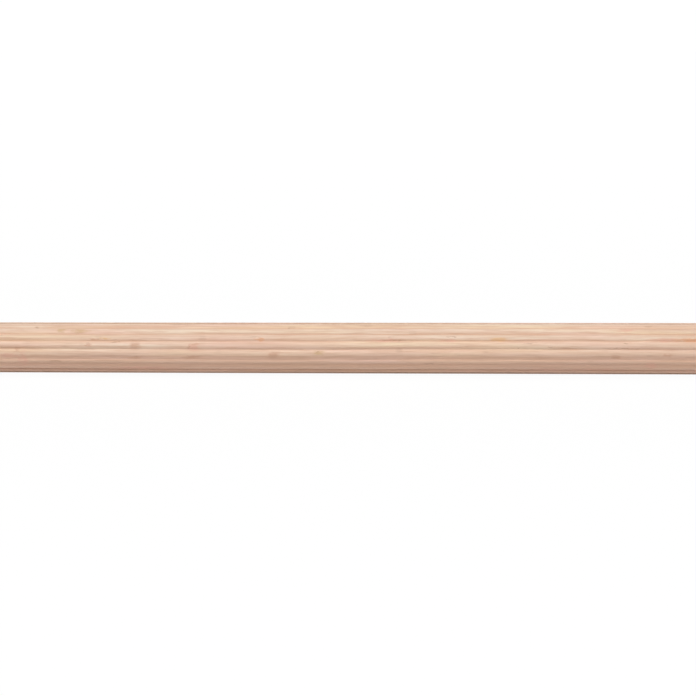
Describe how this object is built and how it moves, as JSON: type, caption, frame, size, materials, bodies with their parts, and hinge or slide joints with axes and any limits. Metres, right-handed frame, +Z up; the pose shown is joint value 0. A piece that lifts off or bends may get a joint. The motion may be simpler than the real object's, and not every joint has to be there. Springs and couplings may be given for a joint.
{
  "type": "fluted dowel rod",
  "caption": "Straight wooden rod with rounded lengthwise ridges and narrow flutes, sawn square at both ends, for glued dowel joints.",
  "frame": {"origin": "on the rod's axis, halfway along its length", "axes": "+X runs along the rod, +Z is up as it lies, and a flute faces straight down between two ridges"},
  "size_m": [0.3, 0.0098, 0.0098],
  "materials": {
    "beech": "matte"
  },
  "bodies": {
    "root": {"dowel_rod": "beech"}
  },
  "joints": []
}
